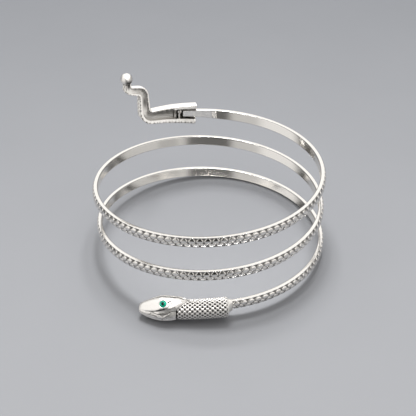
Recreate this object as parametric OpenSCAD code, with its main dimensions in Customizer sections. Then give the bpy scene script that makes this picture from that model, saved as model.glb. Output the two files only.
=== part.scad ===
// Spiral snake arm cuff: a scaled band wound in open turns, with a cast head and a cast tail.
// It lies as it would by itself, on its chin and on the back of its lowest turn.
// Angles run clockwise seen from above and start at the back, +Y. The head points to -X.

/* [Coil] */
// Inside diameter of the coil, where the arm goes through
arm_d = 82; // [70:1:100]
// Turns of the band, from its end in the tail to the neck of the head
coil_turns = 2.51; // [2.35:0.01:2.65]
// Distance from one turn to the next at the tail end
tail_pitch = 7.3; // [6.8:0.1:14]
// Distance from one turn to the next at the middle of the coil
mid_pitch = 15; // [12:0.1:20]
// Distance from one turn to the next at the head end
head_pitch = 10.6; // [8:0.1:14]
// Sideways shift of each turn against the one above it
turn_shift = 0.6; // [0:0.1:2]
// How far the coil opens outwards at the tail end
tail_flare = 1; // [0:0.1:2]
// How far the coil opens outwards at the head end
head_flare = 0.2; // [0:0.1:2]

/* [Band] */
// Height of the band
band_h = 3.8; // [3:0.1:4.3]
// Thickness of the band at the crest of its scales
band_t = 2.0; // [1.6:0.1:2.4]
// Flat width of the band's top and bottom rims
rim_w = 1.1; // [0.8:0.1:1.4]
// Length of one scale of the band
scale_l = 2.7; // [2.6:0.1:4]
// Depth of the notches between the scales
scale_relief = 0.3; // [0.1:0.05:0.45]
// Height of the band at the neck of the head
neck_band_h = 3.4; // [2.6:0.1:3.9]
// Height of the band at its end in the tail
tail_band_h = 2.6; // [2.2:0.1:3.6]

/* [Head] */
// Diameter of the beaded sleeve behind the head
sleeve_d = 7.2; // [6.4:0.1:8]
// Length of the sleeve
sleeve_l = 18; // [12:0.5:26]
// Length of the collar between the sleeve and the band
collar_l = 1.7; // [1:0.1:3]
// Length of the skull, from the sleeve to the tip of the snout
skull_l = 13.4; // [11:0.2:18]
// Width of the skull across the jaws
skull_w = 9; // [8:0.1:12]
// Height of the crown above the middle of the skull
crown_h = 5.1; // [4:0.1:6]
// Depth of the chin below the middle of the skull
chin_h = 3.8; // [3:0.1:5]
// Radius of the gentle bend along the whole head
head_bend_r = 90; // [50:5:200]
// Distance from the middle of the band out to the middle of the sleeve
head_offset = 0.9; // [0.7:0.1:1.4]
// Angle by which the crown tips towards the arm
head_roll = 8; // [0:1:20]
// Depth of the pits between the sleeve's beads
bead_relief = 0.3; // [0.1:0.05:0.45]
// Length of one bead along the sleeve
bead_l = 1.7; // [1.4:0.1:2.6]
// Length of the band's tongue inside the head
tongue_l = 3.5; // [2:0.1:5]

/* [Eyes] */
// Diameter of an eye stone
stone_d = 2.4; // [1.6:0.1:2.8]
// Height of an eye stone from its point to its table
stone_h = 1.3; // [1:0.1:1.8]
// Distance from the snout's tip back to an eye
eye_back = 8.9; // [7:0.1:10]
// Angle of an eye around the skull, up from the side
eye_angle = 46; // [35:1:60]

/* [Tail] */
// Thickness of the trough's floor
tail_floor = 1.1; // [0.8:0.1:2]
// Thickness of the trough's two walls at the open end
tail_wall = 2.1; // [1.4:0.1:2.4]
// Room above and below the band between those walls
tail_room = 0.35; // [0.2:0.05:1]
// How far the walls stand above the band towards the arm
wall_proud = 0.5; // [0.2:0.1:1]
// Length of the band that lies in the trough
tail_lap = 5.4; // [4:0.1:7]
// Straight length of the tail before its first bend
tail_run = 18.5; // [14:0.5:24]
// Straight length of the tail between its first and second bend
tail_rise = 6; // [3:0.5:9]
// Straight length of the tail between its second and third bend
tail_reach = 3.5; // [2:0.5:7]
// Diameter of the knob at the tip
knob_d = 4.2; // [3.4:0.1:6]
// Diameter of the ball on the tail's cross pin
ball_d = 2; // [1.4:0.1:2.2]
// Diameter of the tail's cross pin
pin_d = 0.9; // [0.6:0.1:1.2]

/* [Hidden] */

// Clearance between pieces that fit into or lie against each other
gap = 0.1;

function unit(v) = v / norm(v);
function clamp(value, low, high) = min(max(value, low), high);
function span(from, to, steps) = [for (k = [0 : steps]) from + (to - from) * k / steps];
function column(table, n) = [for (row = table) [row[0], row[n]]];
function total(list, k = 0) = k < len(list) ? list[k] + total(list, k + 1) : 0;
function turned_by(length, r) = length / r * 180 / PI;

// Solid given as rings with the same number of places each, closed at both ends. The fields
// between two rings are split from crest to crest, so the split takes turns as they do.
module lofted(rings) {
    sides = len(rings[0]);
    last = (len(rings) - 1) * sides;
    skin = [
        for (row = [0 : len(rings) - 2], i = [0 : sides - 1])
            let (
                a = row * sides + i,
                b = row * sides + (i + 1) % sides,
                halves = (row + i) % 2 == 0
                    ? [[a, b + sides, b], [a, a + sides, b + sides]]
                    : [[a, a + sides, b], [b, a + sides, b + sides]]
            )
            for (face = halves) face
    ];
    first_end = [for (i = [0 : sides - 1]) i];
    last_end = [for (i = [sides - 1 : -1 : 0]) last + i];
    polyhedron([for (ring = rings, p = ring) p], concat(skin, [first_end, last_end]), convexity = 10);
}

// The coil. The distance between turns follows a curve through its three named values.
start_angle = -13.5;
end_angle = start_angle + 360 * coil_turns;
mid_angle = (start_angle + end_angle) / 2;
half_turns = coil_turns / 2;
mid_r = arm_d / 2 + band_t / 2;
pitch_slope = (head_pitch - tail_pitch) / coil_turns;
pitch_curve = ((head_pitch + tail_pitch) / 2 - mid_pitch) / pow(half_turns, 2);
flare_slope = (head_flare - tail_flare) / coil_turns;
flare_curve = (head_flare + tail_flare) / 2 / pow(half_turns, 2);

function turn_of(angle) = (angle - mid_angle) / 360;
function height_at(t) = -mid_pitch * t - pitch_slope * t * t / 2 - pitch_curve * pow(t, 3) / 3;
function radius_at(t) = mid_r + flare_slope * t + flare_curve * t * t;
function outward(angle) = [sin(angle), cos(angle), 0];
function onward(angle) = [cos(angle), -sin(angle), 0];

// A place on the coil, out and up from the middle of the full band
function coil_place(angle, out = 0, up = 0) =
    let (t = turn_of(angle))
    [turn_shift * (t + half_turns), 0, height_at(t) + up] + (radius_at(t) + out) * outward(angle);

// The band. Its section runs from the inner top corner round under the scales and over them.
// Columns: share of the thickness out from the middle, share of the height up, and
// the row of scales: 1 for the upper row, -1 for the lower row, 0 for plain metal.
rim_share = rim_w / band_t - 0.5;
BAND_SECTION = [
    [-0.50, 0.50, 0],
    [-0.50, -0.50, 0],
    [rim_share, -0.50, 0],
    [0.33, -0.38, 0],
    [0.50, -0.20, -1],
    [0.40, 0.00, 0],
    [0.50, 0.20, 1],
    [0.33, 0.38, 0],
    [rim_share, 0.50, 0],
];

// The band narrows from below towards its two ends
neck_taper_l = 70;
tail_taper_l = 14;
band_l = 2 * PI * mid_r * coil_turns;
half_scales = 2 * round(band_l / scale_l);
function band_h_at(s) =
    band_h
    - (band_h - tail_band_h) * clamp(1 - s / tail_taper_l, 0, 1)
    - (band_h - neck_band_h) * clamp(1 - (band_l - s) / neck_taper_l, 0, 1);

// Crests and notches take turns along each row, and the lower row is half a scale behind
function band_ring(k) =
    let (
        angle = start_angle + (end_angle - start_angle) * k / half_scales,
        h = band_h_at(band_l * k / half_scales),
        side = k % 2 == 0 ? 1 : -1
    )
    [
        for (p = BAND_SECTION)
            let (notch = p[2] * side < 0 ? scale_relief : 0)
            coil_place(angle, p[0] * band_t - notch, p[1] * h + (band_h - h) / 2)
    ];

// The plain tongue of the band goes into the head
tongue_share = 0.78;
tongue_steps = 3;
tongue_turn = turned_by(tongue_l, mid_r);
neck_up = (band_h - neck_band_h) / 2;
function tongue_ring(k) =
    [
        for (p = BAND_SECTION)
            coil_place(
                end_angle + tongue_turn * k / tongue_steps,
                p[0] * band_t * tongue_share,
                p[1] * neck_band_h * tongue_share + neck_up
            )
    ];

band_rings = concat(
    [for (k = [0 : half_scales]) band_ring(k)],
    [for (k = [0 : tongue_steps]) tongue_ring(k)]
);

// The head. All its rings have the same number of places, and the first one faces outwards.
around = 32;
function compass(i) = 360 * i / around;

// The head's middle line leaves the neck straight on and bends gently towards the arm
cap_angle = end_angle + turned_by(collar_l, mid_r);
head_start = coil_place(cap_angle, head_offset, neck_up);
head_drop = head_pitch / (2 * PI * mid_r);
function ahead(along) =
    let (bend = turned_by(along, head_bend_r))
    onward(cap_angle) * cos(bend) - outward(cap_angle) * sin(bend);
function aside(along) =
    let (bend = turned_by(along, head_bend_r))
    outward(cap_angle) * cos(bend) + onward(cap_angle) * sin(bend);

// Direction and place in the head, out and up from its middle line, with the roll
function head_way(along, out, up) =
    aside(along) * (out * cos(head_roll) - up * sin(head_roll))
    + [0, 0, out * sin(head_roll) + up * cos(head_roll)];
function head_place(along, out, up) =
    head_start
    + head_bend_r * (aside(along) - aside(0))
    - [0, 0, along * head_drop]
    + head_way(along, out, up);
function head_ring(along, r, inwards = 0) =
    [for (i = [0 : around - 1]) head_place(along, r * cos(compass(i)) - inwards, r * sin(compass(i)))];

// Beads and pits take turns on the sleeve. The crown's last plate laps over them, and a
// groove parts them from the skull.
sleeve_rows = 2 * round(sleeve_l / bead_l);
plate_l = 4.6;
plate_h = 0.5;
plate_spread = 70;
plate_edge = 0.35;
neck_groove = 0.45;
function plate_at(back, angle) =
    plate_h * clamp((1 - back / plate_l - abs(angle - 90) / plate_spread) / plate_edge, 0, 1);
function sleeve_ring(along, pits) =
    [
        for (i = [0 : around - 1])
            let (
                plate = plate_at(sleeve_l - along, compass(i)),
                r = sleeve_d / 2 + (plate > 0 ? plate : -pits[i % 2])
            )
            head_place(along, r * cos(compass(i)), r * sin(compass(i)))
    ];
function bead_ring(row) =
    sleeve_ring(sleeve_l * (row + 0.5) / sleeve_rows, row % 2 == 0 ? [0, bead_relief] : [bead_relief, 0]);

// The skull. Columns: share of its length from the sleeve, shares of its width, of the
// crown's height and of the chin's depth, and the brow's share of the crown's height.
SKULL = [
    [0.00, 0.82, 0.80, 0.90, 0.66],
    [0.13, 0.94, 0.94, 0.98, 0.52],
    [0.28, 1.00, 1.00, 1.00, 0.40],
    [0.43, 0.95, 0.99, 1.01, 0.34],
    [0.60, 0.80, 0.84, 0.96, 0.24],
    [0.79, 0.62, 0.61, 0.77, 0.16],
    [0.94, 0.43, 0.39, 0.52, 0.10],
    [1.00, 0.26, 0.23, 0.32, 0.10],
];

// Its section, the same on both sides, steps down from the crown to the chin. A groove runs
// under the brow and another one along the jaw. Columns: step, share of the half width,
// shares of the way up to the brow and on to the crown, and share of the way down.
SKULL_SECTION = [
    [0, 0.00, 1.0, 1.00, 0],
    [1, 0.17, 1.0, 0.98, 0],
    [2, 0.33, 1.0, 0.90, 0],
    [3, 0.48, 1.0, 0.74, 0],
    [4, 0.63, 1.0, 0.51, 0],
    [5, 0.79, 1.0, 0.26, 0],
    [6, 0.97, 1.0, 0.00, 0],
    [7, 0.86, 0.5, 0.00, 0],
    [8, 1.00, 0.0, 0.00, 0],
    [9, 1.00, 0.0, 0.00, 0.21],
    [10, 0.94, 0.0, 0.00, 0.42],
    [11, 0.77, 0.0, 0.00, 0.56],
    [12, 0.74, 0.0, 0.00, 0.75],
    [13, 0.56, 0.0, 0.00, 0.88],
    [14, 0.37, 0.0, 0.00, 0.95],
    [15, 0.18, 0.0, 0.00, 0.99],
    [16, 0.00, 0.0, 0.00, 1.00],
];
skull_steps = 15;

// Out and up of the skull's skin at an angle around it, -90 at the chin and 90 at the crown
function skull_skin(share, angle) =
    let (
        step = abs(angle - 90) * around / 360,
        wide = lookup(step, column(SKULL_SECTION, 1)) * lookup(share, column(SKULL, 1)),
        brow = lookup(share, column(SKULL, 4)),
        to_brow = lookup(step, column(SKULL_SECTION, 2)) * brow,
        to_crown = lookup(step, column(SKULL_SECTION, 3)) * (1 - brow),
        down = lookup(step, column(SKULL_SECTION, 4)) * lookup(share, column(SKULL, 3))
    )
    [
        sign(90 - angle) * wide * skull_w / 2,
        (to_brow + to_crown) * lookup(share, column(SKULL, 2)) * crown_h - down * chin_h
    ];
function skull_ring(k) =
    let (share = k / skull_steps)
    [
        for (i = [0 : around - 1])
            let (skin = skull_skin(share, compass(i) > 270 ? compass(i) - 360 : compass(i)))
            head_place(sleeve_l + skull_l * share, skin[0], skin[1])
    ];

// The collar's mouth closes round the band, and the socket behind it holds the tongue. Both
// are boxes with rounded corners.
mouth_lip = 0.2;
mouth_corner = 0.6;
socket_corner = 0.92;
cap_edge_r = sleeve_d / 2 - bead_relief;
cap_step = 0.2;
collar_in = head_offset / 2;
collar_r = cap_edge_r - collar_in - cap_step;
waist_at = -0.4 * collar_l;
waist_r = 0.93 * collar_r;
waist_in = 0.8 * head_offset;
socket_t = band_t * tongue_share / 2 + gap;
socket_h = neck_band_h * tongue_share / 2 + gap;
function box_ring(angle, half_t, half_h, corner) =
    [
        for (i = [0 : around - 1])
            let (c = cos(compass(i)), s = sin(compass(i)), m = pow(max(abs(c), abs(s)), corner))
            coil_place(angle, half_t * c / m, half_h * s / m + neck_up)
    ];
mouth_angle = end_angle + turned_by(gap, mid_r);
socket_turn = turned_by(tongue_l, mid_r);

head_rings = concat(
    [
        for (k = [tongue_steps : -1 : 0])
            box_ring(mouth_angle + socket_turn * k / tongue_steps, socket_t, socket_h, socket_corner)
    ],
    [
        box_ring(mouth_angle, band_t / 2 + mouth_lip, neck_band_h / 2 + mouth_lip, mouth_corner),
        head_ring(waist_at, waist_r, waist_in),
        head_ring(0, collar_r, collar_in),
        head_ring(0, cap_edge_r),
    ],
    [for (row = [0 : sleeve_rows - 1]) bead_ring(row)],
    [sleeve_ring(sleeve_l - neck_groove / 2, [neck_groove, neck_groove])],
    [for (k = [0 : skull_steps]) skull_ring(k)]
);

// An eye's seat, on the crown's slope of one side
eye_share = 1 - eye_back / skull_l;
eye_forward = 8;
eye_step = 8;
module at_eye(angle) {
    skin = skull_skin(eye_share, angle);
    slope = skull_skin(eye_share, angle + eye_step) - skull_skin(eye_share, angle - eye_step);
    along = sleeve_l + skull_l * eye_share;
    way = unit(unit(head_way(along, slope[1], -slope[0])) + ahead(along) * tan(eye_forward));
    translate(head_place(along, skin[0], skin[1]))
    rotate([0, acos(way[2]), atan2(way[1], way[0])])
        children();
}

// Cut stone, from the table down to the point. Columns: share of the stone's radius,
// share of its height above the girdle, and turn of the facets in half steps.
STONE = [
    [0.56, 0.30, 1],
    [1.00, 0.00, 0],
    [1.00, -0.08, 0],
    [0.12, -0.70, 1],
];
stone_sides = 12;
module stone() {
    lofted([
        for (row = STONE)
            [
                for (i = [0 : stone_sides - 1])
                    let (angle = -360 * (i + row[2] / 2) / stone_sides)
                    [
                        row[0] * stone_d / 2 * cos(angle),
                        row[0] * stone_d / 2 * sin(angle),
                        row[1] * stone_h
                    ]
            ]
    ]);
}

// The tail is drawn flat, leftwards and up from its open end, and lies round the coil.
// Its route turns by the angles below; its walls and floor hold the end of the band.
tail_r = radius_at(turn_of(start_angle));
open_angle = start_angle + turned_by(tail_lap, tail_r);
wall_top_r = tail_r - band_t / 2 - wall_proud;
floor_r = tail_r + band_t / 2 + gap;
tail_depth = floor_r + tail_floor - wall_top_r;
tail_w = band_h + 2 * tail_room + 2 * tail_wall;
tail_up = 0.3 * (band_h - tail_band_h);
tail_climb = 5;
neck_run = 1.8;
// Columns: length of a stretch of the route, and the angle it turns by
ROUTE = [
    [tail_run, 0],
    [6, 82],
    [tail_rise, 0],
    [3.8, -68],
    [tail_reach, 0],
    [3, 66],
    [neck_run, 0],
];
tail_l = total([for (row = ROUTE) row[0]]);
function heading(q, k = 0) =
    k == len(ROUTE)
        ? tail_climb
        : ROUTE[k][1] * clamp(q / ROUTE[k][0], 0, 1) + heading(q - ROUTE[k][0], k + 1);

// Columns: share of the tail's length, shares of its width and depth, and how hollow it is
TAIL = [
    [0.00, 1.00, 1.00, 1.00],
    [0.22, 0.86, 1.00, 1.00],
    [0.43, 0.70, 0.94, 0.90],
    [0.57, 0.57, 0.86, 0.80],
    [0.72, 0.50, 0.80, 0.65],
    [0.86, 0.43, 0.76, 0.35],
    [0.94, 0.36, 0.72, 0.00],
    [1.00, 0.32, 0.68, -0.20],
];
function tail_width(q) = tail_w * lookup(q / tail_l, column(TAIL, 1));
function tail_deep(q) = tail_depth * lookup(q / tail_l, column(TAIL, 2));

// The cross pin stands just past the band's end, and a low wall stands behind it
pin_room = 0.35;
pin_at = tail_lap + pin_room + ball_d / 2;
stop_at = pin_at + ball_d / 2 + pin_room;
stop_w = 1.1;
stop_hollow = 0.3;
stop_draft = 0.1;
stops = concat(
    span(0, stop_at, 7),
    span(stop_at + stop_draft, stop_at + stop_w - stop_draft, 1),
    span(stop_at + stop_w, tail_l, 32)
);
function tail_hollow(q) =
    q > stop_at && q < stop_at + stop_w ? stop_hollow : lookup(q / tail_l, column(TAIL, 3));

// Where the middle of the route is after each stop, leftwards and up
function step_to(k) =
    let (turn = heading((stops[k - 1] + stops[k]) / 2))
    (stops[k] - stops[k - 1]) * [cos(turn), sin(turn)];
route = [
    for (k = 0, at = [0, 0]; k < len(stops); k = k + 1, at = k < len(stops) ? at + step_to(k) : at)
        at
];

// A place in the tail: across the route from a flat place of it, and out from the wall tops
open_height = coil_place(open_angle)[2] + tail_up;
function tail_place(at, turn, across, out) =
    let (angle = open_angle - turned_by(at[0] - across * sin(turn), tail_r))
    (wall_top_r + out) * outward(angle) + [0, 0, open_height + at[1] + across * cos(turn)];

// Section of the trough. Columns: share of the half width across, share of the depth out,
// and 1 where it's a bead of the outside, 2 where it's a share of the hollow inside
TROUGH = [
    [1.00, 0.00, 0],
    [1.00, 0.45, 1],
    [0.78, 0.85, -1],
    [0.00, 1.00, 1],
    [-0.78, 0.85, -1],
    [-1.00, 0.45, 1],
    [-1.00, 0.00, 0],
    [-1.00, 0.00, 2],
    [-0.80, 1.00, 2],
    [0.00, 1.00, 2],
    [0.80, 1.00, 2],
    [1.00, 0.00, 2],
];
tail_pit = bead_relief / 2;
function tail_ring(k) =
    let (
        q = stops[k],
        half = tail_width(q) / 2,
        inside = half - tail_wall * tail_width(q) / tail_w,
        deep = tail_deep(q),
        hollow = tail_hollow(q) * (deep - tail_floor),
        side = k % 2 == 0 ? 1 : -1
    )
    [
        for (p = TROUGH)
            let (pit = p[2] * side == -1 ? tail_pit : 0)
            tail_place(
                route[k],
                heading(q),
                p[0] * (p[2] == 2 ? inside : half - pit),
                p[1] * (p[2] == 2 ? hollow : deep - pit)
            )
    ];

// The knob continues the neck. Its places go round in the order of the trough's section.
KNOB_WAYS = [-30, 0, 40, 90, 140, 180, 210, 225, 245, 270, 295, 315];
knob_neck = -50;
knob_tip = 80;
knob_steps = 6;
knob_middle = knob_d / 2 * -sin(knob_neck);
function knob_ring(k) =
    let (
        slope = knob_neck + (knob_tip - knob_neck) * k / knob_steps,
        turn = heading(tail_l),
        at = route[len(route) - 1] + (knob_middle + knob_d / 2 * sin(slope)) * [cos(turn), sin(turn)],
        r = knob_d / 2 * cos(slope)
    )
    [for (way = KNOB_WAYS) tail_place(at, turn, r * cos(way), tail_deep(tail_l) / 2 + r * sin(way))];

tail_rings = concat(
    [for (k = [0 : len(stops) - 1]) tail_ring(k)],
    [for (k = [1 : knob_steps]) knob_ring(k)]
);

// The cross pin runs from wall to wall, a little way into both
pin_seat = 0.7;
pin_out = 0.38 * tail_depth;
pin_half = (tail_w / 2 - tail_wall) * tail_width(pin_at) / tail_w;
pin_turn = heading(pin_at);
ball_up = 0.7;
dimple_d = 0.7;
module at_pin() {
    translate(tail_place(pin_at * [cos(pin_turn), sin(pin_turn)], pin_turn, 0, pin_out))
    rotate([0, pin_turn, turned_by(pin_at, tail_r) - open_angle])
        children();
}

// The rest. The floor touches the chin and, straight across from it, the lower rim of the
// last turn, on the line under the point where the whole cuff balances. Each part counts
// with the share of its box that it fills.
function points(rings) = [for (ring = rings, p = ring) p];
function middle(list) = [for (p = list) 1] * list / len(list);
band_fill = 0.8;
skull_fill = 0.55;
tail_fill = 0.35;
band_part = band_fill * band_l * band_h * band_t;
sleeve_part = PI / 4 * sleeve_d * sleeve_d * sleeve_l;
skull_part = skull_fill * skull_l * skull_w * (crown_h + chin_h);
tail_part = tail_fill * tail_l * tail_w * tail_depth;
balance = (
    band_part * middle(points(band_rings))
    + sleeve_part * head_place(sleeve_l / 2, 0, 0)
    + skull_part * head_place(sleeve_l + skull_l / 2, 0, 0)
    + tail_part * middle(points(tail_rings))
) / (band_part + sleeve_part + skull_part + tail_part);

function flat(p) = [p[0], p[1]];
function across_from(chin) =
    let (
        hub = [turn_shift * (turn_of(end_angle - 180) + half_turns), 0],
        way = unit(flat(balance) - flat(chin)),
        from = flat(chin) - hub,
        far = from + way * (sqrt(pow(from * way, 2) - from * from + mid_r * mid_r) - from * way),
        angle = atan2(far[0], far[1])
    )
    angle + 360 * floor((end_angle - angle - 90) / 360);
function lower_rim(angle) = coil_place(angle, rim_share * band_t, -band_h / 2);
function floor_way(chin) =
    let (
        angle = across_from(chin),
        rim_way = lower_rim(angle + 1) - lower_rim(angle - 1),
        way = unit(cross(rim_way, chin - lower_rim(angle)))
    )
    way[2] < 0 ? -way : way;
function lowest(list, way) =
    let (level = min(list * way))
    [for (p = list) if (p * way == level) p][0];

head_points = points(head_rings);
up_way = floor_way(lowest(head_points, floor_way(lowest(head_points, [0, 0, 1]))));
lean = [atan2(up_way[1], up_way[2]), -atan2(up_way[0], norm([up_way[1], up_way[2]])), 0];

// The origin is under the middle of the cuff's box, on the floor
tip_x = [[1, 0, 0], [0, cos(lean[0]), -sin(lean[0])], [0, sin(lean[0]), cos(lean[0])]];
tip_y = [[cos(lean[1]), 0, sin(lean[1])], [0, 1, 0], [-sin(lean[1]), 0, cos(lean[1])]];
tip = tip_y * tip_x;
leaned = [for (p = points(concat(band_rings, head_rings, tail_rings))) tip * p];
function low(axis) = min([for (p = leaned) p[axis]]);
function high(axis) = max([for (p = leaned) p[axis]]);
foot = [(low(0) + high(0)) / 2, (low(1) + high(1)) / 2, low(2)];

module resting() {
    translate(-foot) rotate(lean) children();
}

module coil_band() {
    color("gainsboro") resting() lofted(band_rings);
}

seat_sink = 0.15;
seat_deep = seat_sink - STONE[3][1] * stone_h + gap;
module eye_seat(angle) {
    at_eye(angle) translate([0, 0, -seat_deep])
        cylinder(h = seat_deep + stone_d, d = stone_d + 2 * gap, $fn = 48);
}

module snake_head() {
    color("silver") resting() difference() {
        lofted(head_rings);
        eye_seat(eye_angle);
        eye_seat(180 - eye_angle);
    }
}

module eye(angle) {
    color("seagreen") resting() at_eye(angle) translate([0, 0, -seat_sink]) stone();
}

module eye_left() {
    eye(eye_angle);
}

module eye_right() {
    eye(180 - eye_angle);
}

module tail() {
    color("lightgray") resting() difference() {
        lofted(tail_rings);
        at_pin() cylinder(h = 2 * (pin_half + pin_seat), d = pin_d + gap, center = true, $fn = 32);
    }
}

module tail_pin() {
    color("silver") resting() at_pin() difference() {
        union() {
            cylinder(h = 2 * (pin_half + pin_seat - gap), d = pin_d, center = true, $fn = 32);
            translate([0, 0, ball_up]) sphere(d = ball_d, $fn = 48);
        }
        translate([0, -ball_d / 2, ball_up]) rotate([90, 0, 0])
            cylinder(h = ball_d, d = dimple_d, center = true, $fn = 24);
    }
}

coil_band();
snake_head();
tail();
eye_left();
eye_right();
tail_pin();
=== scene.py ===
import math

import bmesh
import bpy
import numpy as np
from mathutils import Matrix, Vector


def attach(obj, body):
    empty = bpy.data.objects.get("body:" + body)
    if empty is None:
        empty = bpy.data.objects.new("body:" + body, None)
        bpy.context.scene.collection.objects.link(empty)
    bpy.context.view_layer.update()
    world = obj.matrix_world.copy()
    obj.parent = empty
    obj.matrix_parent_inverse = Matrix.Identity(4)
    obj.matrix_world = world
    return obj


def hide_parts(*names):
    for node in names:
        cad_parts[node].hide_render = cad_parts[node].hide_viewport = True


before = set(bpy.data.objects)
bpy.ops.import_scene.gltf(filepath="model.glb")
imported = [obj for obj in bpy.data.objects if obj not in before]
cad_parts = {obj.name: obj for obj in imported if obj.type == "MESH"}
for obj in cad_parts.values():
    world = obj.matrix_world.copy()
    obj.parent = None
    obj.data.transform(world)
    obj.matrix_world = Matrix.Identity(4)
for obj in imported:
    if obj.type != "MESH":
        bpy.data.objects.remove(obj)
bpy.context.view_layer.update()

# The cuff is worked out in millimetres round the coil's own axis, then leaned and set down
# as it rests, in metres. Angles run clockwise seen from above and start at the back.
LEAN = (Matrix.Rotation(math.radians(-0.236), 3, "Y")
        @ Matrix.Rotation(math.radians(-5.533), 3, "X"))
FOOT = (0.862, -1.420, -17.906)
ARM_D, TURNS, TURN_SHIFT = 82.0, 2.51, 0.6
PITCH_TAIL, PITCH_MID, PITCH_HEAD = 7.3, 15.0, 10.6
FLARE_TAIL, FLARE_HEAD = 1.0, 0.2
BAND_H, BAND_T, NECK_H, TAIL_H = 3.8, 2.0, 3.4, 2.6
SCALES = 245
TAIL_TAPER, NECK_TAPER = 14, 70
START = -13.5
END = START + 360 * TURNS
HALF = TURNS / 2
MID_R = ARM_D / 2 + BAND_T / 2
BAND_L = 2 * math.pi * MID_R * TURNS


def set_down(points):
    return (np.asarray(points) @ np.array(LEAN).T - FOOT) / 1000


def turned_by(length, radius=MID_R):
    return np.degrees(length / radius)


def cos(angle):
    return np.cos(np.radians(angle))


def sin(angle):
    return np.sin(np.radians(angle))


def stack(x, y, z):
    return np.stack(np.broadcast_arrays(x, y, z), -1)


def radius_at(angle):
    t = (angle - (START + END) / 2) / 360
    curve = (FLARE_HEAD + FLARE_TAIL) / 2 / HALF ** 2
    return MID_R + (FLARE_HEAD - FLARE_TAIL) / TURNS * t + curve * t * t


def coil(angle, out=0.0, up=0.0):
    """A place on the coil, out and up from the middle of the full band."""
    t = (angle - (START + END) / 2) / 360
    slope = (PITCH_HEAD - PITCH_TAIL) / TURNS
    curve = ((PITCH_HEAD + PITCH_TAIL) / 2 - PITCH_MID) / HALF ** 2
    r = radius_at(angle) + out
    z = -PITCH_MID * t - slope * t * t / 2 - curve * t ** 3 / 3 + up
    return stack(TURN_SHIFT * (t + HALF) + r * sin(angle), r * cos(angle), z)


def bump(x, middle, width):
    """1 at the middle, falling smoothly to 0 a width away."""
    return ease(1 - np.abs((x - middle) / width))


def ease(x):
    """Rises smoothly from 0 to 1 between 0 and 1."""
    x = np.clip(x, 0, 1)
    return x * x * (3 - 2 * x)


# Pieces. Each one is a grid rolled up into a long tube, whose rings are put in place by a
# formula and whose ends are closed. Marks are numbers on the vertices for the finish to
# read: the darkening mark is painted shade, how far the colour is darkened where shade and
# dark reflections fall; rough is how grained and lift how far the shine is tipped upwards.
def sweep(name, sides, rings, place, finish, smooth=True):
    bm = bmesh.new()
    bmesh.ops.create_grid(bm, x_segments=sides, y_segments=rings - 1, size=1)
    ring, side = np.divmod(np.arange(len(bm.verts)), sides + 1)
    mesh = bpy.data.meshes.new(name)
    bm.to_mesh(mesh)
    points, marks = place(ring, side % sides)
    mesh.vertices.foreach_set("co", set_down(points).ravel())
    for mark, values in marks.items():
        layer = mesh.attributes.new(mark, "FLOAT", "POINT")
        layer.data.foreach_set("value", np.broadcast_to(values, ring.shape).astype(np.float32))
    bm.clear()
    bm.from_mesh(mesh)
    bmesh.ops.remove_doubles(bm, verts=[v for v in bm.verts if v.is_boundary], dist=1e-7)
    bmesh.ops.holes_fill(bm, edges=[e for e in bm.edges if e.is_boundary], sides=0)
    bmesh.ops.recalc_face_normals(bm, faces=bm.faces)
    for face in bm.faces:
        face.smooth = smooth and len(face.verts) == 4
    bm.to_mesh(mesh)
    bm.free()
    mesh.materials.append(finish)
    piece = bpy.data.objects.new(name, mesh)
    bpy.context.collection.objects.link(piece)
    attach(piece, "root")
    return piece


class Wire:
    """An output socket that can be reckoned with."""

    def __init__(self, bench, socket):
        self.bench, self.socket = bench, socket

    def maths(self, operation, first, second):
        return self.bench.add("ShaderNodeMath", {"operation": operation}, {0: first, 1: second})

    def __add__(self, other):
        return self.maths("ADD", self, other)

    def __sub__(self, other):
        return self.maths("SUBTRACT", self, other)

    def __rsub__(self, other):
        return self.maths("SUBTRACT", other, self)

    def __mul__(self, other):
        return self.maths("MULTIPLY", self, other)

    def __abs__(self):
        return self.bench.add("ShaderNodeMath", {"operation": "ABSOLUTE"}, {0: self})

    def above(self, other):
        return self.maths("MAXIMUM", self, other)

    def below(self, other):
        return self.maths("MINIMUM", self, other)

    __radd__, __rmul__ = __add__, __mul__


class Bench:
    """Puts one node tree together."""

    def __init__(self, tree):
        self.tree = tree

    def add(self, kind, settings=None, inputs=None, out=0):
        node = self.tree.nodes.new(kind)
        for key, value in (settings or {}).items():
            setattr(node, key, value)
        for key, value in (inputs or {}).items():
            self.plug(node.inputs[key], value)
        return Wire(self, node.outputs[out])

    def plug(self, socket, value):
        if isinstance(value, Wire):
            self.tree.links.new(value.socket, socket)
        else:
            socket.default_value = value

    def mark(self, name):
        return self.add("ShaderNodeAttribute", {"attribute_name": name}, out="Fac")

    def noise(self, scale, detail=2.0, stretch=(1, 1, 1)):
        place = self.add("ShaderNodeTexCoord", out="Object")
        laid = self.add("ShaderNodeMapping", {}, {"Vector": place, "Scale": stretch})
        return self.add("ShaderNodeTexNoise", {}, {
            "Vector": laid, "Scale": scale, "Detail": detail, "Roughness": 0.5}, out="Fac")

    def ramped(self, value, low, high):
        """Rises smoothly from 0 at low to 1 at high."""
        return self.add("ShaderNodeMapRange", {"interpolation_type": "SMOOTHSTEP"}, {
            "Value": value, "From Min": low, "From Max": high})

    def mixed(self, share, first, second):
        """A colour between two, which the Mix node takes at its sockets 6 and 7."""
        return self.add("ShaderNodeMix", {"data_type": "RGBA"}, {
            "Factor": share, 6: first, 7: second}, out=2)

    def vectors(self, operation, *inputs, out=0):
        return self.add(
            "ShaderNodeVectorMath", {"operation": operation}, dict(enumerate(inputs)), out)


def material(name, settings):
    made = bpy.data.materials.new(name)
    made.use_nodes = True
    shader = made.node_tree.nodes["Principled BSDF"]
    for key, value in settings.items():
        shader.inputs[key].default_value = value
    return made, Bench(made.node_tree), shader.inputs


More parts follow.
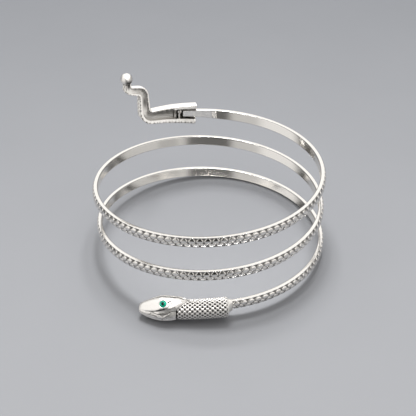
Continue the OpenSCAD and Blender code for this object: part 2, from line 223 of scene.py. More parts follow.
def silver(name, shine, grain, tilt=0.0, grit=900):
    """Polished silver, with painted shade darkening it in pits, grooves, gaps and under edges."""
    made, bench, shader = material(name, {"Metallic": 1.0})
    cloud = bench.noise(60, 3)
    fine = bench.noise(grit, 2, (1, 1, 2))
    dark, rough = bench.mark("pit"), bench.mark("rough")
    tone = bench.mixed(cloud, (0.95, 0.93, 0.90, 1), (0.90, 0.875, 0.84, 1))
    # Painted shade: the colour goes near black as far as the mark says.
    bench.plug(shader["Base Color"], bench.mixed(dark.below(1.0), tone, (0.035, 0.032, 0.03, 1)))
    bench.plug(shader["Roughness"], shine + fine * 0.06 + cloud * 0.05 + dark * 0.25 + rough * 0.2)
    facing = bench.add("ShaderNodeNewGeometry", out="Normal")
    lift = bench.add("ShaderNodeCombineXYZ", {}, {"Z": bench.mark("lift") * tilt})
    bench.plug(shader["Normal"], bench.add("ShaderNodeBump", {}, {
        "Strength": grain, "Distance": 0.00006,
        "Height": fine + bench.noise(350, 2) * 0.8 + bench.noise(1300, 2) * rough * 5.0,
        "Normal": bench.vectors("NORMALIZE", bench.vectors("ADD", facing, lift))}))
    return made


# The band. From the inner top corner down the inside, along the lower rim, up over the
# scales and back along the upper rim. Columns: out in mm, share of the height up.
BEVEL_OUT = -0.93
INSIDE = [(-1.0, up) for up in (0.43, 0.40, -0.40, -0.43)]
BEVEL = [(BEVEL_OUT, 0.475), (-0.72, 0.5)]
LOWER_RIM = [(out, -up) for out, up in BEVEL + [(0.1, 0.5)]]
UPPER_RIM = [(0.36, 0.5), *BEVEL[::-1]]
LEVELS = (0.06, 0.14, 0.3, 0.42, 0.48, 0.64, 0.79, 0.84, 1)
OVER = [(0.0, v / 2) for v in [-v for v in LEVELS[::-1]] + [0, *LEVELS]]
BAND_SECTION = np.array(INSIDE + LOWER_RIM + OVER + UPPER_RIM)
OUTSIDE = len(INSIDE) + len(LOWER_RIM)
# How far along a scale its lobe and the gap's brink reach, by the share of the half band
# up from the seam. Then how far out, in mm, the lobes and the bed between them stand.
REACH_AT = (0.3, 0.45, 0.64, 0.79, 0.84)
LOBE_REACH = (0.44, 0.41, 0.29, 0.16, 0.12)
BRINK_REACH = (0.49, 0.47, 0.35, 0.22, 0.18)
UPPER_CREST = np.array([
    (0, 0.7), (0.06, 0.98), (0.14, 1.02), (0.42, 0.97), (0.48, 0.94),
    (0.79, 0.46), (0.84, 0.42), (1, 0.37),
]).T
LOWER_CREST = np.array([
    (0, 0.7), (0.06, 0.92), (0.14, 1.0), (0.3, 1.02), (0.42, 0.98), (0.48, 0.93),
    (0.79, 0.53), (0.84, 0.46), (1, 0.12),
]).T
BED = np.array([(0, 0.7), (0.06, 0.7), (0.3, 0.68), (0.42, 0.62), (0.48, 0.58), (0.79, 0.08)]).T
UPPER_BED_EDGE, LOWER_BED_EDGE = 0.37, 0.2
# By ring, from a scale's middle to its gap: how much of the lobe's height is left, and how
# much painted shade darkens the surface near the rim and near the seam.
HALF_RINGS = 7
SCALE_RINGS = 2 * HALF_RINGS
SLOPE = np.array((1, 0.99, 0.96, 0.9, 0.72, 0.3, 0, 0))
RIM_DARK = np.array((0, 0, 0, 0, 0, 0.3, 0.75, 0.95))
SEAM_DARK = np.array((0.1, 0.1, 0.1, 0.1, 0.1, 0.7, 0.8, 0.95))


def band_place(ring, side):
    out, up = BAND_SECTION[side].T
    bevel, upper, lower = out == BEVEL_OUT, up > 0, up < 0
    inside = side < len(INSIDE)
    scaled = (side >= OUTSIDE) & (side < OUTSIDE + len(OVER))
    v = np.abs(2 * up)
    # The lower row of scales is half a scale behind. Rings draw in and spread out along a
    # scale's edge, so the edge stays sharp.
    step = (ring + HALF_RINGS * lower) % SCALE_RINGS - HALF_RINGS
    k = np.abs(step)
    half, brink = np.interp(v, REACH_AT, LOBE_REACH), np.interp(v, REACH_AT, BRINK_REACH)
    bent = np.choose(k, (0 * half, 0.45 * half, 0.75 * half, 0.92 * half, half,
                         (half + brink) / 2, brink, 0 * half + 0.5))
    sharp = ease(v / 0.3) * scaled
    bent = np.sign(step) * (bent * sharp + k / SCALE_RINGS * (1 - sharp))
    scale = (ring - step) / SCALE_RINGS + bent
    angle = START + (END - START) * scale / SCALES
    s = scale / SCALES * BAND_L
    h = (BAND_H - (BAND_H - TAIL_H) * np.clip(1 - s / TAIL_TAPER, 0, 1)
         - (BAND_H - NECK_H) * np.clip(1 - (BAND_L - s) / NECK_TAPER, 0, 1))
    crest = np.where(upper, np.interp(v, *UPPER_CREST), np.interp(v, *LOWER_CREST))
    bed = np.where(v > 0.8, np.where(upper, UPPER_BED_EDGE, LOWER_BED_EDGE), np.interp(v, *BED))
    # The gap between two scales has a valley down its middle.
    bed = bed - 0.7 * (0.5 - brink) * (k == HALF_RINGS) * (v > 0.2) * (v < 0.8)
    out = np.where(scaled, bed + (crest - bed) * SLOPE[k], out)
    # The seam between the rows waves round the scales' ends.
    up = up + 0.07 * cos(360 * scale) * np.clip(1 - v / 0.5, 0, 1) * scaled
    # Painted shade and painted reflection: the gaps between scales, the seam and the inner bevels
    # are darkened, and so is the underside of the lower edge, where shade falls.
    deep = (np.where(v > 0.5, RIM_DARK[k], SEAM_DARK[k])
            * np.interp(v, (0.06, 0.14, 0.79, 0.84), (0, 0.8, 1, 0)))
    under = 0.6 * ease((v - 0.7) / 0.1) * lower
    pit = np.where(scaled, np.maximum(np.maximum(deep, under), 0.9 * (v == 0)), 0.9 * bevel)
    # Inside, the band's end shows a patch of plain roughness.
    marks = {"pit": pit, "lift": inside * ease((s - 11) / 5), "rough": inside * 0.7 * bump(s, 6, 6)}
    return coil(angle, out, up * h + (BAND_H - h) / 2), marks


band_silver = silver("band_silver", 0.06, 0.12, tilt=0.5)
BAND_RINGS = SCALES * SCALE_RINGS + HALF_RINGS + 1
band = sweep("snake_band", len(BAND_SECTION), BAND_RINGS, band_place, band_silver)
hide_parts("coil_band")

# The head. The skull's rows: share of its length, then width, crown and chin as shares of
# their largest, and how much of the height the brow takes. Its section runs from the crown
# down to the chin: step, width, share of the brow's height and of the crown's, share down.
AROUND = 216
SLEEVE_D, SLEEVE_L, COLLAR_L, BEAD_ROWS, BEADS_ROUND = 7.2, 18.0, 1.7, 21, 14
SKULL_L, SKULL_W, CROWN_H, CHIN_H = 13.4, 9.0, 5.1, 3.8
HEAD_BEND_R, HEAD_OFFSET, HEAD_ROLL = 90.0, 0.9, 8.0
NECK_UP = (BAND_H - NECK_H) / 2
CAP = END + turned_by(COLLAR_L)
HEAD_START = coil(CAP, HEAD_OFFSET, NECK_UP)
OUTWARD = np.array((sin(CAP), cos(CAP), 0))
ONWARD = np.array((cos(CAP), -sin(CAP), 0))
SKULL = np.array([
    (0.00, 0.82, 0.92, 0.90, 0.66),
    (0.13, 0.94, 0.98, 0.98, 0.52),
    (0.28, 1.00, 1.00, 1.00, 0.40),
    (0.43, 0.95, 0.99, 1.01, 0.34),
    (0.60, 0.80, 0.84, 0.96, 0.24),
    (0.79, 0.62, 0.61, 0.77, 0.16),
    (0.94, 0.43, 0.39, 0.52, 0.10),
    (1.00, 0.26, 0.23, 0.32, 0.10),
]).T
SKULL_SECTION = np.array([
    (0, 0.00, 1.0, 1.00, 0), (1, 0.17, 1.0, 0.98, 0), (2, 0.33, 1.0, 0.90, 0),
    (3, 0.48, 1.0, 0.74, 0), (4, 0.63, 1.0, 0.51, 0), (5, 0.79, 1.0, 0.26, 0),
    (6, 0.97, 1.0, 0.00, 0), (7, 0.86, 0.5, 0.00, 0), (8, 1.00, 0.0, 0.00, 0),
    (9, 1.00, 0.0, 0.00, 0.21), (10, 0.94, 0.0, 0.00, 0.42), (11, 0.77, 0.0, 0.00, 0.56),
    (12, 0.74, 0.0, 0.00, 0.75), (13, 0.56, 0.0, 0.00, 0.88), (14, 0.37, 0.0, 0.00, 0.95),
    (15, 0.18, 0.0, 0.00, 0.99), (16, 0.00, 0.0, 0.00, 1.00),
]).T


def head_place(along, out, up):
    bend = along / HEAD_BEND_R
    aside = np.outer(np.cos(bend), OUTWARD) + np.outer(np.sin(bend), ONWARD)
    tipped = out * cos(HEAD_ROLL) - up * sin(HEAD_ROLL)
    rise = out * sin(HEAD_ROLL) + up * cos(HEAD_ROLL)
    drop = along * PITCH_HEAD / (2 * math.pi * MID_R)
    zero = np.zeros_like(rise + drop)
    return (HEAD_START + HEAD_BEND_R * (aside - OUTWARD)
            + aside * np.reshape(tipped + zero, (-1, 1)) + stack(zero, zero, rise - drop))


def skull_skin(share, angle):
    """Out and up of the skull's skin at an angle round it, -90 at the chin, edges eased."""
    total = np.zeros((2, len(share)))
    for ahead, aside in ((0, 0), (0.04, 0), (-0.04, 0), (0, 7), (0, -7)):
        step = np.abs(angle + aside - 90) * 16 / 180
        width, crown, chin, brow = (np.interp(share + ahead, SKULL[0], row) for row in SKULL[1:])
        wide, to_brow, to_crown, down = (
            np.interp(step, SKULL_SECTION[0], row) for row in SKULL_SECTION[1:])
        high = (to_brow * brow + to_crown * (1 - brow)) * crown * CROWN_H
        total += (np.sign(90 - angle - aside) * wide * width * SKULL_W / 2,
                  high - down * chin * CHIN_H)
    return total / 5


# What is cut into the skull: corners as mm ahead of its back and angle round it, then a
# groove's width, its depth and how much painted shade it gets, or a hollow's depth and how
# much painted shade it gets.
GROOVES = (
    (((8.5, 8), (6.5, 17)), 0.30, 0.30, 0.8),
    (((6.6, 16.5), (5.1, 21), (3.9, 23.5)), 0.46, 0.45, 1.0),
    (((3.9, 23.5), (2.9, 25)), 0.30, 0.30, 0.7),
    (((2.8, 50), (2.3, 53), (1.8, 58)), 0.28, 0.30, 0.9),
    (((13.2, -20), (11.7, -18), (9.9, -15), (8.1, -12), (6.4, -11)), 0.30, 0.22, 0.7),
    (((6.1, 0), (4.4, 3), (2.8, 2)), 0.28, 0.30, 0.9),
    (((8.5, 8), (7.2, 2), (6.1, 0)), 0.25, 0.18, 0.6),
    (((4.4, -18), (3.0, -12), (1.0, -14)), 0.25, 0.18, 0.6),
    (((12.6, -43), (10.8, -50), (8.4, -52), (4.9, -55), (2.6, -50)), 0.30, 0.12, 0.4),
    (((12.6, 90), (7.0, 90)), 0.45, 0.24, 1.0),
    (((7.0, 90), (0.0, 90)), 0.65, 0.35, 1.0),
    (((12.8, -6), (12.5, -10)), 0.30, 0.22, 1.0),
    (((10.6, 4), (9.4, 11), (8.5, 8)), 0.22, 0.12, 0.5),
    (((9.6, -14), (8.6, -4), (8.5, 8)), 0.22, 0.12, 0.5),
    (((7.4, -12), (5.6, -24), (4.4, -40)), 0.25, 0.16, 0.6),
    (((5.6, -24), (3.4, -22), (1.2, -30)), 0.25, 0.16, 0.6),
    (((2.8, 2), (1.6, 10), (0.2, 8)), 0.25, 0.16, 0.6),
    (((2.8, 25), (1.6, 18), (1.6, 10)), 0.22, 0.14, 0.6),
)
HOLLOWS = (
    (((6.0, -1), (4.4, 2), (2.9, 1), (4.4, -17)), 0.35, 0.35),
    (((4.0, -20), (3.0, -13), (2.0, -15), (3.1, -38)), 0.25, 0.2),
    (((8.4, 6), (6.4, 1), (7.5, -7)), 0.22, 0.15),
    (((2.1, 22), (1.1, 20), (1.6, 2)), 0.22, 0.2),
)
BROW_LINE = np.array([
    (1.5, 53), (2.1, 38), (2.9, 31), (4.7, 27), (6.5, 23), (8.2, 17), (13, 22),
]).T
CHEEK_BACK = 0.3
MM_PER_DEGREE = 0.073


def carve(along, angle):
    """Depth of what is cut into the skull, and how much painted shade it gets."""
    angle = 90 - np.abs(angle - 90)
    where = np.stack((along, angle * MM_PER_DEGREE), -1)
    # The cheek lies back under the brow.
    under = np.interp(along, *BROW_LINE) - angle
    depth = CHEEK_BACK * ease(under / 4) * ease(1.2 - under / 35)
    depth = depth * ease(along - 0.8) * ease((9.5 - along) / 2)
    dark = np.zeros_like(along)
    for path, width, deep, shade in GROOVES:
        corners = np.array(path) * (1, MM_PER_DEGREE)
        for start, stop in zip(corners, corners[1:]):
            run = stop - start
            t = np.clip((where - start) @ run / (run @ run), 0, 1)
            close = bump(np.linalg.norm(where - start - t[:, None] * run, axis=1), 0, width)
            depth = np.maximum(depth, deep * close)
            dark = np.maximum(dark, shade * ease(close * 1.5))
    for path, deep, shade in HOLLOWS:
        corners = np.array(path) * (1, MM_PER_DEGREE)
        within = np.full_like(along, 9.0)
        for start, stop in zip(corners, np.roll(corners, -1, axis=0)):
            run = (stop - start) / np.linalg.norm(stop - start)
            across = np.array((-run[1], run[0]))
            middle_side = np.sign((corners.mean(0) - start) @ across)
            within = np.minimum(within, (where - start) @ across * middle_side)
        level = ease(within / 0.2)
        depth, dark = np.maximum(depth, deep * level), np.maximum(dark, shade * level)
    return depth, dark


# How far behind the snout's tip the eyes are, at what angle round the skull and how far they
# are tipped ahead. Round each one the skin has a rim and a hole, and the hole's edge is
# painted dark as painted shade.
EYE_BACK, EYE_ANGLE, EYE_TIP, STONE_D = 8.9, 46.0, 8, 2.4
RIM_R, HOLE_R, DARK_R = 1.42, 1.28, 1.32


def eye_seat(angle):
    """Middle of an eye on the skull's skin and the way it looks."""
    forward, zero = np.array([SKULL_L - EYE_BACK]), np.zeros(1)
    share, along = forward / SKULL_L, SLEEVE_L + forward
    middle = head_place(along, *skull_skin(share, angle))[0]
    slope = (skull_skin(share, angle + 8) - skull_skin(share, angle - 8))[:, 0]
    way = (head_place(along, slope[1:], -slope[:1]) - head_place(along, zero, zero))[0]
    bend = along[0] / HEAD_BEND_R
    ahead = ONWARD * math.cos(bend) - OUTWARD * math.sin(bend)
    way = way / np.linalg.norm(way) + ahead * math.tan(math.radians(EYE_TIP))
    return middle, way / np.linalg.norm(way)


EYES = [eye_seat(EYE_ANGLE), eye_seat(180 - EYE_ANGLE)]

COLLAR_RINGS, CAP_RINGS, SLEEVE_RINGS, SKULL_RINGS, SNOUT_RINGS = 12, 4, 176, 134, 10
SLEEVE_FROM = COLLAR_RINGS + CAP_RINGS
SKULL_FROM = SLEEVE_FROM + SLEEVE_RINGS
SNOUT_FROM = SKULL_FROM + SKULL_RINGS
HEAD_RINGS = SNOUT_FROM + SNOUT_RINGS
CAP_R = SLEEVE_D / 2 - 0.3
COLLAR_R = CAP_R - HEAD_OFFSET / 2 - 0.2
CAP_L = 0.25
# The crown's last plate, as mm back over the sleeve and degrees round it, and what is cut
# into the sleeve
PLATE_L, PLATE_ANGLE = 4.6, 70
NET_DEPTH, GROOVE_DEPTH, CUT_DEPTH = 0.42, 0.4, 0.35
# How much of the skull's length its rounded tip takes
SNOUT_SHARE = 0.025


def collar_shape(ring, c, s):
    """The collar swells from the band's end, which it hides, to the sleeve's back."""
    m = np.maximum(np.abs(c), np.abs(s)) ** 0.6
    hidden = coil(np.full_like(c, END - 0.1), 0.8 * c / m, NECK_H / 2 * 0.8 * s / m + NECK_UP)
    mouth = coil(np.full_like(c, END + turned_by(0.1)),
                 1.2 * c / m, (NECK_H / 2 + 0.2) * s / m + NECK_UP)
    mouth = np.where((ring == 0)[:, None], hidden, mouth)
    base = head_place(np.zeros_like(c), COLLAR_R * c - HEAD_OFFSET / 2, COLLAR_R * s)
    return mouth + (base - mouth) * ease((ring - 1) / (COLLAR_RINGS - 1))[:, None]


def cap_shape(ring, c, s):
    """The sleeve's closed back, with a rounded edge."""
    k = (ring - COLLAR_RINGS + 1) / CAP_RINGS
    r = COLLAR_R + (CAP_R - COLLAR_R) * np.clip(k * 1.5, 0, 1)
    aside = HEAD_OFFSET / 2 * np.clip(1 - k * 1.5, 0, 1)
    return head_place(np.clip(k * 3 - 2, 0, 1) * CAP_L, r * c - aside, r * s)


def sleeve_shape(ring, angle, c, s):
    """Rows of beads, under the flap of the crown's last plate."""
    along = CAP_L + (SLEEVE_L - CAP_L) * np.clip((ring - SLEEVE_FROM + 1) / SLEEVE_RINGS, 0, 1)
    back = SLEEVE_L - along
    row, bead = along * BEAD_ROWS / SLEEVE_L - 0.5, angle * BEADS_ROUND / 180
    net = 0.5 + 0.5 * cos(180 * row) * cos(180 * bead)
    fade = ease((along - 0.2) / 0.5)
    groove = bump(back, 0.1, 0.55)
    off_top = np.abs(angle - 90)
    plate = np.clip((1 - back / PLATE_L - off_top / PLATE_ANGLE) / 0.2, 0, 1)
    sunk = NET_DEPTH * (1 - net ** 0.7) * fade + GROOVE_DEPTH * groove
    r = SLEEVE_D / 2 - sunk * (plate <= 0)
    r = r + plate * (0.45 + 0.55 * ease(1 - back / 3.5))
    cut = (bump(off_top * 0.07, 0, 0.6) + bump(plate, 0.05, 0.3) * 0.7) * (plate > 0)
    sleeve = head_place(along, (r - CUT_DEPTH * cut) * c, (r - CUT_DEPTH * cut) * s)
    # The plate runs on into the skull's back.
    join = (plate * ease(1 - back / 2.5))[:, None]
    skull_back = head_place(along, *skull_skin(np.zeros_like(c), angle))
    # Painted shade in the net's pits, in the groove where the sleeve meets the skull and in the
    # plate's cuts.
    pit = np.where(plate > 0, cut, np.maximum(ease(2.0 - 3.6 * net) * fade, groove))
    return sleeve * (1 - join) + skull_back * join, pit


def skull_shape(ring, angle, c, s):
    """The skull, whose snout is rounded off over the last rings."""
    k = (ring - SKULL_FROM + 1) / SKULL_RINGS
    over = np.clip((ring - SNOUT_FROM + 1) / SNOUT_RINGS, 0, 1)
    share = np.clip(k, 0, 1) * (1 - SNOUT_SHARE) + SNOUT_SHARE * sin(90 * over)
    out, up = skull_skin(share, angle)
    depth, dark = carve(SKULL_L * share, angle)
    shrink = cos(90 * over * 0.93)
    skull = head_place(
        SLEEVE_L + SKULL_L * share, (out - depth * c) * shrink, (up - depth * s) * shrink)
    return skull, dark


def head_shape(ring, side):
    angle = side * 360 / AROUND
    c, s = cos(angle), sin(angle)
    angle = np.where(angle > 270, angle - 360, angle)
    points, pit = skull_shape(ring, angle, c, s)
    for end, (there, dark) in (
            (SKULL_FROM, sleeve_shape(ring, angle, c, s)),
            (SLEEVE_FROM, (cap_shape(ring, c, s), 0 * c)),
            (COLLAR_RINGS, (collar_shape(ring, c, s), 0 * c))):
        points = np.where((ring < end)[:, None], there, points)
        pit = np.where(ring < end, dark, pit)
    # A rim and a hole round each eye, the hole's edge painted dark as painted shade.
    for middle, way in EYES:
        off = points - middle
        high = off @ way
        d = np.linalg.norm(off - high[:, None] * way, axis=1)
        near = (np.abs(high) < 1.5) & (d < 3) & (ring > SKULL_FROM)
        moved = 0.1 * bump(d, RIM_R, 0.3) - 0.9 * ease((HOLE_R - d) / 0.14)
        points = points + np.where(near, moved, 0)[:, None] * way
        pit = np.maximum(pit, np.where(near, ease((DARK_R - d) / 0.1), 0))
    return points, {"pit": pit, "lift": 1.0}


head_silver = silver("head_silver", 0.26, 0.8, tilt=0.32, grit=1700)
head = sweep("snake_head_cast", AROUND, HEAD_RINGS, head_shape, head_silver)
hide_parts("snake_head")

# Eye stones, by ring: radius as a share of the stone's and height as a share of its depth.
# Their middles lie a little under the skin.
STONE = np.array([
    (0.02, 0.33), (0.34, 0.33), (0.76, 0.19), (1.00, 0.02), (1.00, -0.08), (0.55, -0.42),
    (0.05, -0.68),
])
FACETS, STONE_DEPTH, STONE_SUNK = 16, 1.3, 0.15


def stone_place(middle, way):
    side_way = np.cross(way, ONWARD)
    side_way /= np.linalg.norm(side_way)
    fore_way = np.cross(side_way, way)

    def place(ring, side):
        # The table's edge and the last ring but one are turned by half a facet.
        angle = 360 * (side + np.where(np.isin(ring, (1, 5)), 0.5, 0)) / FACETS
        r, h = STONE[ring, 0] * STONE_D / 2, STONE[ring, 1] * STONE_DEPTH - STONE_SUNK
        points = middle + np.outer(h, way)
        points = points + np.outer(r * cos(angle), fore_way) + np.outer(r * sin(angle), side_way)
        # The table's rings are marked for a painted reflection, near black.
        return points, {"table": (ring < 2) * 1.0}
    return place


def stone_green():
    # The stone glows faintly in its own colour, which is painted light.
    made, bench, shader = material("stone_green", {
        "Metallic": 0.0, "Roughness": 0.05, "IOR": 1.45, "Specular IOR Level": 0.6,
        "Emission Strength": 0.3})
    cloud = bench.ramped(bench.noise(1500, 1), 0.35, 0.65)
    ring = bench.mixed(cloud, (0.0, 0.30, 0.17, 1), (0.02, 0.62, 0.42, 1))
    # Painted reflection: the table is coloured near black.
    tone = bench.mixed(bench.mark("table"), ring, (0.0, 0.01, 0.008, 1))
    bench.plug(shader["Base Color"], tone)
    bench.plug(shader["Emission Color"], tone)
    return made


green = stone_green()
for name, (middle, way) in zip(("eye_left", "eye_right"), EYES):
    stone = sweep(
        name + "_stone", FACETS, len(STONE), stone_place(middle, way), green, smooth=False)
    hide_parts(name)

# The tail. An open trough, bent in its own plane as ROUTE says, by length and turn, and
# then laid on the coil. Rows: share of the length, then width, depth and hollow's depth.
TAIL_LAP, TAIL_WALL, TAIL_ROOM, WALL_PROUD, TAIL_FLOOR, KNOB_D = 5.4, 2.1, 0.35, 0.5, 1.1, 4.6
TAIL_R = radius_at(START)
OPEN = START + turned_by(TAIL_LAP, TAIL_R)
WALL_TOP_R = TAIL_R - BAND_T / 2 - WALL_PROUD
TAIL_DEPTH = TAIL_R + BAND_T / 2 + 0.1 + TAIL_FLOOR - WALL_TOP_R
TAIL_W = BAND_H + 2 * TAIL_ROOM + 2 * TAIL_WALL
ROUTE = ((18.5, 0), (6, 82), (6, 0), (3.8, -68), (4.3, 0), (3.2, 78), (1.5, 0))
FIRST_HEADING = 5.0
TAIL_L = sum(length for length, _ in ROUTE)
TAIL = np.array([
    (0.00, 1.00, 1.00, 1.00), (0.22, 0.86, 1.00, 1.00), (0.43, 0.70, 0.94, 0.90),
    (0.57, 0.57, 0.86, 0.80), (0.72, 0.50, 0.80, 0.65), (0.86, 0.40, 0.76, 0.35),
    (0.94, 0.33, 0.72, 0.00), (1.00, 0.29, 0.68, -0.20),
]).T
# The pin's ball, the room before and behind it, and the low wall that stops the hollow
BALL_D, PIN_ROOM, STOP_W, STOP_HOLLOW = 2, 0.35, 1.1, 0.3
STOP_AT = TAIL_LAP + PIN_ROOM + BALL_D + PIN_ROOM
TAIL_RINGS, KNOB_RINGS = 300, 22
# The trough's section, from the upper rail round the back and the lower rail and along the
# hollow: across, out, and 1 where it belongs to the hollow.
TROUGH = np.array([
    (0.98, 0.06, 0), (1.00, 0.22, 0), (1.00, 0.45, 0), (0.93, 0.68, 0), (0.78, 0.86, 0),
    (0.45, 0.97, 0), (0.00, 1.00, 0), (-0.45, 0.97, 0), (-0.78, 0.86, 0), (-0.93, 0.68, 0),
    (-1.00, 0.45, 0), (-1.00, 0.22, 0), (-1.00, 0.02, 0), (-0.92, -0.04, 0),
    (-1.15, -0.03, 1), (-1.01, 0.02, 1), (-0.94, 0.40, 1), (-0.84, 0.86, 1),
    (-0.60, 1.00, 1), (0.00, 1.00, 1), (0.60, 1.00, 1), (0.84, 0.86, 1), (0.94, 0.40, 1),
    (1.01, 0.02, 1), (1.15, -0.03, 1), (0.90, -0.04, 0),
])
BETWEEN = 4
TAIL_SIDES = len(TROUGH) * BETWEEN
# Corners of the section, counted in the list above, where marks lie
BACK_FROM, BACK_TO, LOWER_RAIL = 3.5, 12, 12.6
FLOOR_FROM, FLOOR_MIDDLE, FLOOR_TO, UNDER_RAIL = 15, 19.5, 23.5, 23.75


def heading(q):
    """Which way the trough runs at a length along it, in degrees from level."""
    turn, left = FIRST_HEADING, q
    for length, bend in ROUTE:
        turn = turn + bend * np.clip(left / length, 0, 1)
        left = left - length
    return turn


STOPS = np.linspace(0, TAIL_L, TAIL_RINGS)
MIDS = (STOPS[1:] + STOPS[:-1]) / 2
STEP = TAIL_L / (TAIL_RINGS - 1)
ROUTE_X = np.concatenate(([0], np.cumsum(cos(heading(MIDS)) * STEP)))
ROUTE_Z = np.concatenate(([0], np.cumsum(sin(heading(MIDS)) * STEP)))
OPEN_Z = coil(np.array([OPEN]))[0, 2] + 0.3 * (BAND_H - TAIL_H)


def tail_spot(x, z, turn, across, out):
    angle = OPEN - turned_by(x - across * sin(turn), TAIL_R)
    r = WALL_TOP_R + out
    return stack(r * sin(angle), r * cos(angle), OPEN_Z + z + across * cos(turn))


def trough_section(q, side):
    """Across and out of the trough's skin, before it is marked, and its depth."""
    width, depth, hollow = (np.interp(q / TAIL_L, TAIL[0], row) for row in TAIL[1:])
    # The open end is rounded. The low wall crosses the trough past the pin.
    half = TAIL_W * width / 2 - 0.5 * (1 - np.sqrt(1 - np.clip(1 - q / 0.6, 0, 1) ** 2))
    inside = (TAIL_W / 2 - TAIL_WALL) * width
    depth = TAIL_DEPTH * depth
    stop = ease((0.75 - np.abs(q - STOP_AT - STOP_W / 2)) / 0.25)
    hollow = hollow * (1 - 0.65 * ease((q - STOP_AT - 1) / 0.5))
    hollow = (hollow * (1 - stop) + STOP_HOLLOW * stop) * (depth - TAIL_FLOOR)

    def corner(n):
        across, out, within = TROUGH[n].T
        return across * np.where(within, inside, half), out * np.where(within, hollow, depth)
    first, share = side // BETWEEN, side % BETWEEN / BETWEEN
    before, after = corner(first), corner((first + 1) % len(TROUGH))
    across, out = (a + (b - a) * share for a, b in zip(before, after))
    return across, out, depth


def trough_marks(q, at):
    """How deep the trough's skin is dented and how much painted shade it gets."""
    ragged = 0.7 + 0.2 * np.sin(3.1 * q) + 0.2 * np.sin(7.3 * q + 1) + 0.1 * np.sin(13 * q)
    # a net of dents round the back and the lower side, darkened with painted shade
    p, w = q / 0.85, at * 0.75
    one, two = cos(90 * (p - w)) ** 2, cos(90 * (p + w)) ** 2
    net = 0.5 * np.maximum(one, two) + 0.25 * (one + two)
    dent = 0.3 * (1 - net) * ease((at - BACK_FROM) / 2) * ease((BACK_TO - at) / 2)
    pit = np.clip(dent * 3.5 - 0.2, 0, 1)
    # notches along the lower rail, darkened with painted shade
    wave = np.sin(4.6 * q + np.sin(1.9 * q))
    notch = ease(0.35 + 0.8 * wave * ragged) * bump(at, LOWER_RAIL, 1.1)
    # a dark line of painted shadow under the upper rail, and painted shade in the leg's and the
    # neck's hollows
    line = ease(bump(at, UNDER_RAIL, 0.9) * 2.2 * ragged) * 0.95
    leg = bump(at, FLOOR_MIDDLE, 2.5) * bump(q, 28, 4.5) * 0.75
    neck = bump(at, FLOOR_MIDDLE + 1, 4.0) * bump(q, TAIL_L - 1, 3) * 1.2
    for dark in (notch, past_stop(q) * line, leg, neck):
        pit = np.maximum(pit, dark)
    return dent + 0.15 * notch, np.clip(pit, 0, 1)


def past_stop(q):
    return ease((q - STOP_AT - STOP_W) / 0.3)


def knob_shape(ring, side):
    """The lumpy knob on the tail's end, and its darker patch."""
    slope = -50 + 130 * np.clip((ring - TAIL_RINGS + 1) / KNOB_RINGS, 0, 1)
    way = side / TAIL_SIDES * 360 + 8
    lump = 1 + 0.05 * cos(3 * way + 40) * cos(2 * slope) + 0.035 * sin(5 * way) * cos(3 * slope)
    r, ahead = KNOB_D / 2 * cos(slope) * lump, KNOB_D / 2 * (0.5 + sin(slope))
    last = heading(TAIL_L)
    points = tail_spot(
        ROUTE_X[-1] + ahead * cos(last), ROUTE_Z[-1] + ahead * sin(last), last,
        r * cos(way), TAIL_DEPTH * 0.34 + r * sin(way))
    # A patch on one side of the knob, near its base, is coloured darker.
    return points, 0.95 * bump(slope, -25, 40) * ease(cos(way + 80) * 2 - 0.5)


def tail_place(ring, side):
    on_trough, stop = ring < TAIL_RINGS, np.minimum(ring, TAIL_RINGS - 1)
    q, at = STOPS[stop], side / BETWEEN
    across, out, depth = trough_section(q, side)
    dent, pit = trough_marks(q, at)
    shrink = 1 - dent / (np.hypot(across, out - depth / 2) + 1e-6)
    across, out = across * shrink, depth / 2 + (out - depth / 2) * shrink
    trough = tail_spot(ROUTE_X[stop], ROUTE_Z[stop], heading(q), across, out)
    knob, knob_dark_patch = knob_shape(ring, side)
    floor = (at > FLOOR_FROM) & (at < FLOOR_TO) & on_trough
    return np.where(on_trough[:, None], trough, knob), {
        "pit": np.where(on_trough, pit, knob_dark_patch),
        "rough": 0.3 * floor * past_stop(q) + 0.5 * (1 - floor),
        "lift": np.where(on_trough, 1 + 0.3 * floor, 0.3)}


tail_silver = silver("tail_silver", 0.22, 0.6, tilt=1.2)
tail = sweep("snake_tail_cast", TAIL_SIDES, TAIL_RINGS + KNOB_RINGS, tail_place, tail_silver)
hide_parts("tail")

# The cross pin keeps its own solid
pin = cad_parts["tail_pin"]
pin.data.materials.clear()
pin.data.materials.append(silver("pin_silver", 0.1, 0.2))

# Floor, its colour painted darker towards the back as painted shade
bpy.ops.mesh.primitive_plane_add(size=6, location=(0, 0, 0))
floor = bpy.context.object
floor.name = "floor"
ground, bench, shader = material("floor_grey", {"Roughness": 0.6, "Specular IOR Level": 0.2})
where = bench.add("ShaderNodeTexCoord", out="Object")
depth = bench.add("ShaderNodeSeparateXYZ", {}, {0: where}, out=1)
shade = bench.ramped(depth, -0.14, 0.3) + (bench.noise(25, 3) - 0.5) * 0.1
bench.plug(shader["Base Color"], bench.mixed(
    shade, (0.286, 0.292, 0.309, 1), (0.168, 0.175, 0.189, 1)))
floor.data.materials.append(ground)

# Light, from a big soft window overhead and behind. The front is dark. Bearings are in
# degrees from the front, and high is the sine of the height.
world = bpy.data.worlds.new("studio")
bpy.context.scene.world = world
world.use_nodes = True
bench = Bench(world.node_tree)
way = bench.add("ShaderNodeTexCoord", out="Generated")


def glow(azimuth, height, near, far):
    """1 within the nearer angle of a direction, falling to 0 at the farther one. The
    azimuth is in degrees from the back."""
    towards = (sin(azimuth) * cos(height), cos(azimuth) * cos(height), sin(height))
    facing = bench.vectors("DOT_PRODUCT", way, towards, out="Value")
    return bench.ramped(facing, cos(far), cos(near))


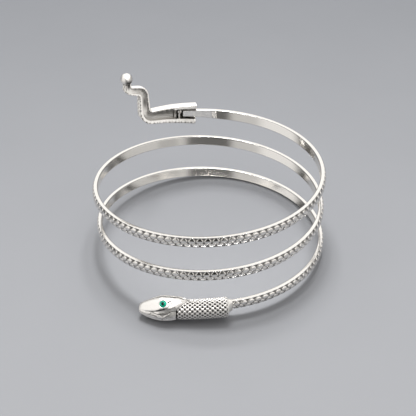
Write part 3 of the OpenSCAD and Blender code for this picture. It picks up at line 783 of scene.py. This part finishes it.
east, north, high = (bench.add("ShaderNodeSeparateXYZ", {}, {0: way}, out=n) for n in range(3))
RADIAN = 57.3
bearing = bench.add("ShaderNodeMath", {"operation": "ARCTAN2"}, {0: east, 1: 0.0 - north}) * RADIAN
turn = abs(bearing)
overhead = bench.ramped(high, 0.85, 0.95)
walls = bench.ramped(turn, 17, 29) * (1.0 - bench.ramped(turn, 88, 112))
walls = walls * (0.42 + 0.25 * glow(-105, 10, 15, 30) - 0.12 * glow(137, 25, 6, 12))
# The dark front leans to one side as it rises, and widens.
lean = bearing + 13.0 * bench.ramped(high, 0.42, 0.5)
front = 1.0 - bench.ramped(abs(lean) - 24.0 * bench.ramped(high, 0.62, 0.69), 17, 27)
window = bench.ramped(high + 0.12 * bench.ramped(turn, 60, 80), 0.5, 0.6).above(glow(0, 45, 33, 42))
window = window * (1.0 - front * (1.0 - overhead))
level = (0.14 - 0.09 * bench.ramped(turn, 115, 150) + walls) * (1.0 - window) + 1.1 * window
level = level * (1.0 - 0.9 * front * bench.ramped(high, 0.51, 0.56) * (1.0 - overhead))
warm = {0: (1, 0.985, 0.965), "Scale": level}
glare = bench.add("ShaderNodeVectorMath", {"operation": "SCALE"}, warm)
bench.plug(world.node_tree.nodes["Background"].inputs["Color"], glare)

light = bpy.data.lights.new("top_box", "AREA")
light.shape, light.size, light.size_y = "RECTANGLE", 0.36, 0.3
light.energy = 9
lamp = bpy.data.objects.new("top_box", light)
lamp.location = (0.0, 0.3, 0.9)
lamp.rotation_euler = (Vector((0, 0, 0.02)) - lamp.location).to_track_quat("-Z", "Y").to_euler()
bpy.context.collection.objects.link(lamp)

# Camera. It looks down on the coil's own plane at the angle and from as far off as this:
LOOK_DOWN, FAR_OFF, FOCAL_PIXELS, IMAGE_PIXELS = 32.282, 0.4, 1055.94, 416
ahead = LEAN @ Vector((0, cos(LOOK_DOWN), -sin(LOOK_DOWN)))
upward = LEAN @ Vector((0, sin(LOOK_DOWN), cos(LOOK_DOWN)))
target = Vector(set_down([(0.234, 0, -3.131)])[0])
camera = bpy.data.objects.new("camera", bpy.data.cameras.new("camera"))
bpy.context.collection.objects.link(camera)
camera.data.sensor_width = 36
camera.data.lens = FOCAL_PIXELS / IMAGE_PIXELS * camera.data.sensor_width
camera.data.clip_start = 0.01
camera.matrix_world = Matrix.Translation(target - ahead * FAR_OFF) @ Matrix(
    (ahead.cross(upward), upward, -ahead)).transposed().to_4x4()
bpy.context.scene.camera = camera
bpy.context.scene.view_settings.view_transform = "Standard"
